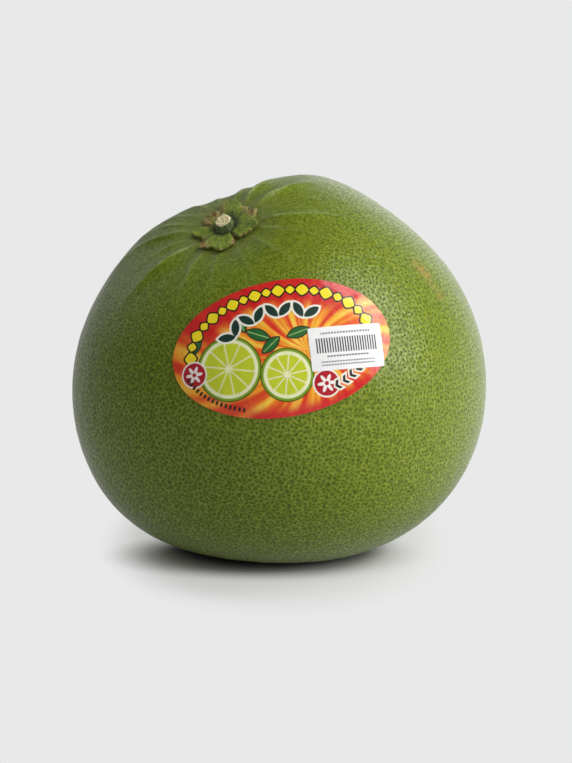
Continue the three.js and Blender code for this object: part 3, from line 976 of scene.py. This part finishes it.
# Inks of the oval sticker in the order of printing: shape, inset, colour
OVAL_INKS = [
    ("wheel", -0.35, srgb(60, 72, 14)),
    ("wheel", 0.0, srgb(122, 158, 26)),
    ("wheel", 0.75, srgb(238, 240, 190)),
    ("segment", 0.0, srgb(196, 208, 44)),
    ("sprig", -0.25, srgb(24, 40, 16)),
    ("sprig", 0.1, srgb(34, 100, 44)),
    ("vein", 0.0, srgb(150, 190, 110)),
    ("leaf_row", -0.55, srgb(244, 240, 226)),
    ("leaf_row", 0.1, srgb(18, 52, 40)),
    ("bead", -0.55, srgb(30, 22, 12)),
    ("bead", 0.1, srgb(250, 226, 26)),
    ("seal", -0.4, srgb(246, 240, 232)),
    ("seal", 0.1, srgb(176, 22, 38)),
    ("rosette", 0.0, srgb(246, 236, 232)),
    ("chevron", -0.5, srgb(240, 236, 222)),
    ("chevron", 0.1, srgb(42, 40, 40)),
    ("tick", 0.0, srgb(46, 34, 20)),
]


def oval_material():
    """Glossy print: rays from red through orange to yellow, a red band and flat inks over them."""
    material, tree, shader = new_material("Printed sticker", IOR=1.42, Coat_Weight=0.25, Coat_Roughness=0.12)
    where = place(tree)
    ray = stored(tree, "ray")
    drift = mottle(tree, where, 120.0, 1.6)
    heat = linear(tree, drift, 0.5, linear(tree, ray, 0.8, -0.2))
    ramp = add(tree, "ShaderNodeValToRGB", {"Fac": heat})
    while len(ramp.color_ramp.elements) < len(RAY_STOPS):
        ramp.color_ramp.elements.new(0.5)
    for element, (position, colour) in zip(ramp.color_ramp.elements, RAY_STOPS):
        element.position = position
        element.color = colour
    red = blend_colours(tree, times(tree, ray, 0.35), srgb(204, 16, 22), srgb(230, 62, 30))
    colour = blend_colours(tree, stored(tree, "red"), ramp.outputs["Color"], red)
    shapes = {name: stored(tree, name) for name in dict.fromkeys(ink[0] for ink in OVAL_INKS)}
    for name, inset, ink in OVAL_INKS:
        colour = printed(tree, colour, shapes[name], inset, INK_SOFTNESS, ink)
    feed(tree, shader, "Base Color", colour)
    paper = grouped(tree, STUCK_PAPER, {"Where": where, "Pits": 0.35})
    feed(tree, shader, "Roughness", paper["Roughness"])
    feed(tree, shader, "Normal", bump(tree, paper["Height"], 0.22))
    return material


# Rows of marks on the white sticker: spacing, half width of each mark, lowest and highest edge,
# half width of the row, colour
WHITE_MARKS = [
    (0.85, 0.23, -1.4, 3.4, 10.4, srgb(52, 50, 52)),
    (0.95, 0.33, 4.6, 5.2, 8.2, srgb(128, 126, 128)),
    (1.0, 0.4, -2.8, -2.3, 7.0, srgb(110, 108, 110)),
    (0.9, 0.38, -4.5, -4.05, 9.0, srgb(140, 138, 140)),
    (0.9, 0.38, -5.5, -5.05, 9.0, srgb(140, 138, 140)),
]
MARKS_START = 40.0  # how far left of the middle the spacing is counted from
MARK_SOFTNESS = 0.1


def inside_band(tree, value, middle, half_width):
    """How far a value lies inside a band round the middle."""
    from_middle = maths(tree, "ABSOLUTE", maths(tree, "SUBTRACT", value, middle))
    return maths(tree, "SUBTRACT", half_width, from_middle)


def white_material():
    """White paper with a row of even dark bars and rows of small grey dashes, drawn from the
    sticker's own coordinates in millimetres."""
    material, tree, shader = new_material("White sticker", IOR=1.48, Coat_Weight=0.15, Coat_Roughness=0.3)
    where = place(tree)
    x, y = stored(tree, "across"), stored(tree, "up")
    colour = blend_colours(tree, mottle(tree, where, 200.0, 1.5), srgb(232, 231, 230), srgb(246, 245, 244))
    for spacing, width, low, high, half, ink in WHITE_MARKS:
        swing = maths(tree, "PINGPONG", maths(tree, "ADD", x, MARKS_START), spacing)
        inside = inside_band(tree, swing, spacing / 2, width)
        inside = maths(tree, "MINIMUM", inside, inside_band(tree, y, (high + low) / 2, (high - low) / 2))
        inside = maths(tree, "MINIMUM", inside, inside_band(tree, x, 0.0, half))
        colour = printed(tree, colour, inside, 0.0, MARK_SOFTNESS, ink)
    feed(tree, shader, "Base Color", colour)
    paper = grouped(tree, STUCK_PAPER, {"Where": where, "Pits": 0.12})
    feed(tree, shader, "Roughness", maths(tree, "ADD", paper["Roughness"], 0.2))
    feed(tree, shader, "Normal", bump(tree, paper["Height"], 0.15))
    return material


# Pieces

def make_peel():
    points, faces, polar, (gap, strength) = peel_mesh()
    peel = new_piece("peel", points, faces.tolist(), peel_material(), "fruit")
    give(peel, "polar", polar)
    give(peel, "fold_gap", gap)
    give(peel, "fold_away", np.abs(gap))
    give(peel, "fold_strength", strength)
    corners = peel.data.attributes.new("corner", "FLOAT_VECTOR", "CORNER")
    corners.data.foreach_set("vector", np.tile(np.eye(3), (len(faces), 1)).astype(np.float32).ravel())


def make_sepals():
    points, faces, share, dry, crease = calyx_mesh()
    sepals = new_piece("sepals", points, faces, calyx_material(), "calyx")
    give(sepals, "share", share)
    give(sepals, "dry", dry)
    give(sepals, "crease", crease)


def make_stem():
    points, faces, cut = stem_mesh()
    stem = new_piece("stem_end", points, faces, stem_material(), "stem")
    give(stem, "cut", cut)


def make_oval():
    oval, x, y = sticker_piece("oval_sticker", OVAL, OVAL_GRID, OVAL_LIFT, OVAL_THICK,
                               oval_material(), "label")
    shapes = {
        "ray": burst, "red": red_share, "wheel": wheel_rim, "segment": wheel_segments,
        "sprig": sprig, "vein": sprig_veins, "leaf_row": leaf_row, "bead": bead_row,
        "seal": seals, "rosette": rosettes, "chevron": chevrons, "tick": ticks,
    }
    for name, shape in shapes.items():
        give(oval, name, shape(x, y))


def make_white():
    white, x, y = sticker_piece("white_sticker", WHITE, WHITE_GRID, WHITE_LIFT, WHITE_THICK,
                                white_material(), "price_sticker")
    give(white, "across", x)
    give(white, "up", y)


# Stage, lights and camera

STAGE_COLOUR = (0.8, 0.8, 0.8, 1)
# Floor colour where the fruit stands: painted contact shade
CONTACT_SHADE_COLOUR = (0.12, 0.12, 0.12, 1)
STAGE_HALF_WIDTH = 8
# Ellipses on the floor, in metres: centre, stretch, where each starts and ends
# CONTACT bounds the painted contact shade on the floor's colour
CONTACT = ((-0.002, -0.004, 0), (0.9, 1.3, 0), 0.027, 0.041)
SHADOW = ((-0.0048, -0.0168, 0), (1, 2.185, 0), 0.0331, 0.061)
SHADOW_TAIL = ((-0.0006, 0.0008, 0), (1, 0.8, 0), 0.0447, 0.0655)
NEAR_FLOOR = ((0, 0, 0), (1, 1, 0), 0.05, 0.13)
TAIL_SHARE = 0.4
# Glow of the floor on the fruit: on the left and on the right, between these places in metres, and
# the share of it that is left close by
FLOOR_GLOW = (0.6, 1.2)
FLOOR_GLOW_REACH = (-0.15, 0.25)
NEAR_FLOOR_SHARE = 0.6
SKY_SEEN = (232, 233, 232)


def past_ellipse(tree, centre, stretch, start, end):
    """0 inside an ellipse on the floor and 1 outside a larger one, smooth between."""
    offset = vector_maths(tree, "SUBTRACT", place(tree), centre)
    offset = vector_maths(tree, "MULTIPLY", offset, stretch)
    return step_up(tree, vector_maths(tree, "LENGTH", offset), start, end)


def make_stage():
    """A level pale floor, wide enough to fill the picture. Close by it takes the fruit's shadow, and where
    the fruit stands its colour is darkened as painted shade; past two ellipses it glows in the sky's tone,
    so that it ends nowhere. To all but the camera it glows less on the left and close to the fruit."""
    signs = ((-1, -1), (1, -1), (1, 1), (-1, 1))
    corners = [(x * STAGE_HALF_WIDTH, y * STAGE_HALF_WIDTH, 0) for x, y in signs]
    mesh = bpy.data.meshes.new("stage")
    mesh.from_pydata(corners, [], [(0, 1, 2, 3)])
    material, tree, shader = new_material("Stage", Roughness=1.0, Specular_IOR_Level=0.0)
    # Painted shade: the floor's colour is darkened where the fruit stands
    colour = blend_colours(tree, past_ellipse(tree, *CONTACT), CONTACT_SHADE_COLOUR, STAGE_COLOUR)
    feed(tree, shader, "Base Color", colour)
    left, right = FLOOR_GLOW
    across = add(tree, "ShaderNodeSeparateXYZ", {0: place(tree)}).outputs["X"]
    glow = linear(tree, step_up(tree, across, *FLOOR_GLOW_REACH), right - left, left)
    far_off = past_ellipse(tree, *NEAR_FLOOR)
    glow = times(tree, glow, linear(tree, far_off, 1 - NEAR_FLOOR_SHARE, NEAR_FLOOR_SHARE))
    camera = add(tree, "ShaderNodeLightPath").outputs["Is Camera Ray"]
    strength = maths(tree, "ADD", camera, times(tree, glow, maths(tree, "SUBTRACT", 1.0, camera)))
    even = add(tree, "ShaderNodeEmission", {"Color": srgb(*SKY_SEEN), "Strength": strength}).outputs[0]
    past = times(tree, past_ellipse(tree, *SHADOW), 1 - TAIL_SHARE)
    past = linear(tree, past_ellipse(tree, *SHADOW_TAIL), TAIL_SHARE, past)
    both = add(tree, "ShaderNodeMixShader", {0: past, 1: shader.outputs[0], 2: even})
    tree.links.new(both.outputs[0], tree.nodes["Material Output"].inputs["Surface"])
    mesh.materials.append(material)
    stage = bpy.data.objects.new("stage", mesh)
    bpy.context.scene.collection.objects.link(stage)


# Windows and walls seen from the fruit: heading, elevation, angles from there where the glow is
# full and gone, brightness
SKY_BASE = 0.25
SKY_GLOWS = {
    "window on the right, lower part": (-20, 15, 5, 17, 9.2),
    "window on the right, middle part": (-16, 43, 5, 15, 8.5),
    "window on the right, upper part": (-19, 63, 4, 14, 6.0),
    "window on the right, far side": (-4, 27, 5, 15, 1.2),
    "fill from the front above": (-50, 45, 10, 40, 0.4),
    "window behind on the right": (66, 8, 12, 32, 0.95),
    "window behind on the left": (136, 27, 8, 28, 0.55),
    "wall behind on the right": (35, 38, 8, 26, 0.2),
}


def make_sky():
    """Light from far off: a dim base and soft glows that stand for the studio's windows and walls.
    The camera sees the floor's tone instead."""
    world = bpy.data.worlds.new("Studio")
    bpy.context.scene.world = world
    world.use_nodes = True
    tree = world.node_tree
    way = add(tree, "ShaderNodeTexCoord").outputs["Generated"]
    light = SKY_BASE
    for heading, elevation, full, gone, brightness in SKY_GLOWS.values():
        cosine = vector_maths(tree, "DOT_PRODUCT", way, towards(heading, elevation).tolist())
        glow = step_up(tree, cosine, float(np.cos(np.radians(gone))), float(np.cos(np.radians(full))))
        light = linear(tree, glow, brightness, light)
    back = tree.nodes["Background"]
    back.inputs["Color"].default_value = (1, 1, 1, 1)
    tree.links.new(light, back.inputs["Strength"])
    seen = add(tree, "ShaderNodeBackground", {"Color": srgb(*SKY_SEEN)}).outputs[0]
    camera = add(tree, "ShaderNodeLightPath").outputs["Is Camera Ray"]
    both = add(tree, "ShaderNodeMixShader", {0: camera, 1: back.outputs[0], 2: seen}).outputs[0]
    tree.links.new(both, tree.nodes["World Output"].inputs["Surface"])


def make_camera():
    """Looks level along +Y and down at the body's centre; the lens shift puts that centre where
    the picture has it."""
    camera = bpy.data.cameras.new("camera")
    camera.lens = CAMERA_LENS
    camera.sensor_width = CAMERA_SENSOR
    width, height = PICTURE_SIZE
    camera.shift_x = (width / 2 - BODY_CENTRE_IN_PICTURE[0]) / height
    camera.shift_y = (BODY_CENTRE_IN_PICTURE[1] - height / 2) / height
    holder = bpy.data.objects.new("camera", camera)
    bpy.context.scene.collection.objects.link(holder)
    back = -towards(90, -CAMERA_HEIGHT_ANGLE)
    holder.location = ((BODY_CENTRE + CAMERA_DISTANCE * back) * MM).tolist()
    holder.rotation_euler = (np.radians(90 - CAMERA_HEIGHT_ANGLE), 0, 0)
    bpy.context.scene.camera = holder


make_camera()
make_sky()
make_stage()
make_peel()
make_sepals()
make_stem()
make_oval()
make_white()
bpy.context.scene.view_settings.view_transform = "Standard"
